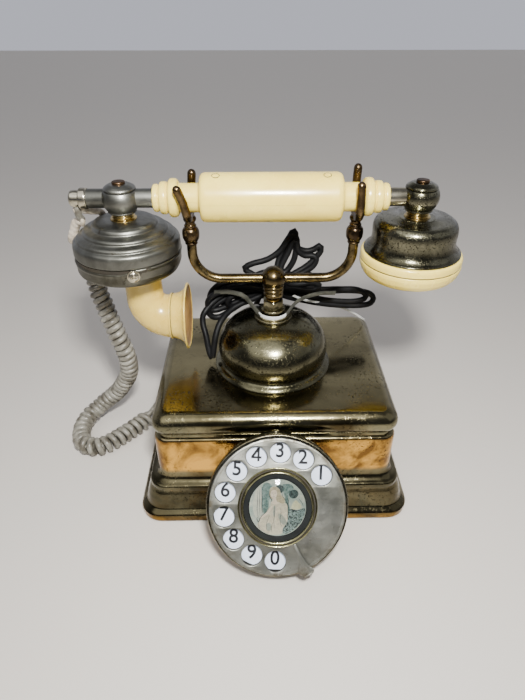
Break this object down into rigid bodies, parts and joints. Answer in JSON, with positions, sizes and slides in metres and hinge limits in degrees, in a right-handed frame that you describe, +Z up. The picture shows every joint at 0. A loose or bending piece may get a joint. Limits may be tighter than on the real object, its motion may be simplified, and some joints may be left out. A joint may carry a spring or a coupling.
{
  "type": "rotary desk telephone",
  "caption": "Antique style desk telephone: stepped brass base, bell-shaped dome, tilted rotary dial, fork cradle, cream handset with a cup at each end and a horn mouthpiece.",
  "frame": {"origin": "centre of the base's underside, on the surface that it stands on", "axes": "+X to the right along the handset, +Y to the back away from the dial, +Z up"},
  "size_m": [0.2592, 0.2247, 0.1992],
  "materials": {
    "worn_brass": "polished, worn and speckled",
    "dark_bronze": "brown, worn lacquer",
    "dull_nickel": "dull, faintly brushed",
    "bright_nickel": "bright with a warm tint and pitting",
    "copper_screw": "copper coloured, dull",
    "cream_plastic": "glossy aged ivory",
    "cream_screw": "satin",
    "white_enamel": "gloss white with black numbers",
    "dark_gasket": "matt",
    "picture_card": "printed card",
    "clear_lens": "clear, domed",
    "steel": "plain",
    "gear_brass": "clean",
    "contact_bronze": "clean",
    "coil_red": "varnished winding",
    "brown_board": "pressed board",
    "green_felt": "felt",
    "capsule_grey": "matt",
    "grey_cord": "satin light grey",
    "black_cord": "satin black",
    "tie_white": "matt",
    "black_plastic": "matt"
  },
  "bodies": {
    "base": {"base_shell": "worn_brass", "base_plate": "steel", "base_pad": "green_felt", "base_screws": "steel", "corner_posts": "worn_brass", "dome_cover": "worn_brass", "washers": "worn_brass", "column_bush": "worn_brass", "lock_nut": "worn_brass", "hook_bracket": "steel", "hook_spring": "steel", "hook_switch": "contact_bronze", "ringer_frame": "steel", "ringer_coils": "coil_red", "gong_posts": "steel", "gongs": "gear_brass", "terminal_block": "brown_board", "wire_loom": "black_cord", "dial_neck": "worn_brass", "dial_case": "worn_brass", "dial_clamp_screw": "worn_brass", "dial_backplate": "steel", "number_plate": "white_enamel", "finger_stop": "dull_nickel", "spring_barrel": "steel", "impulse_contacts": "contact_bronze", "cord_grommets": "black_cord", "handset_cord": "grey_cord", "line_cord": "black_cord", "cord_tie": "tie_white", "line_plug": "black_plastic"},
    "dial": {"finger_wheel": "dull_nickel", "dial_bezel": "worn_brass", "dial_gasket": "dark_gasket", "dial_picture": "picture_card", "dial_lens": "clear_lens", "dial_shaft": "steel", "dial_gear": "gear_brass"},
    "governor_wheel": {"governor": "gear_brass"},
    "cradle": {"cradle_column": "dark_bronze", "cradle_rod": "dark_bronze", "forks": "dark_bronze"},
    "handset": {"grip_upper": "cream_plastic", "grip_lower": "cream_plastic", "grip_screws": "cream_screw", "handset_tube": "dull_nickel", "tube_end_cap": "dull_nickel", "ball_joints": "dull_nickel", "ball_screws": "copper_screw", "cup_stems": "worn_brass", "transmitter_cup": "dull_nickel", "microphone": "capsule_grey", "receiver_cup": "bright_nickel", "receiver_cap": "cream_plastic", "earpiece": "capsule_grey"},
    "mouthpiece": {"clamp_band": "dull_nickel", "clamp_screw": "dull_nickel", "mouth_horn": "cream_plastic"},
    "striker": {"clapper": "gear_brass"}
  },
  "joints": [
    {"name": "handset_lift", "type": "slide", "parent": "base", "child": "handset", "axis": [0, 0, 1], "range_m": [0, 0.04], "deforming": ["handset_cord"]},
    {"name": "hook_rise", "type": "slide", "parent": "base", "child": "cradle", "axis": [0, 0, 1], "range_m": [0, 0.005], "deforming": ["hook_spring"]},
    {"name": "dial_turn", "type": "hinge", "parent": "base", "child": "dial", "pos_m": [0, -0.096, 0.043], "axis": [0, 0.8191, -0.5736], "range_deg": [0, 320], "stiffness_Nm_per_rad": 0.01},
    {"name": "governor_spin", "type": "hinge", "parent": "base", "child": "governor_wheel", "pos_m": [0, -0.07563, 0.05814], "axis": [0, 0.8191, -0.5736], "range_deg": [-1280, 0]},
    {"name": "mouthpiece_turn", "type": "hinge", "parent": "handset", "child": "mouthpiece", "pos_m": [-0.0848, 0, 0.15], "axis": [0, 0, 1], "range_deg": [-45, 45]},
    {"name": "clapper_swing", "type": "hinge", "parent": "base", "child": "striker", "pos_m": [0, -0.0105, 0.0278], "axis": [0, 0, 1], "range_deg": [-8, 8], "stiffness_Nm_per_rad": 0.002}
  ],
  "couplings": [
    {"joint": "hook_rise", "follows": "handset_lift", "ratio": 0.125},
    {"joint": "governor_spin", "follows": "dial_turn", "ratio": -4}
  ]
}
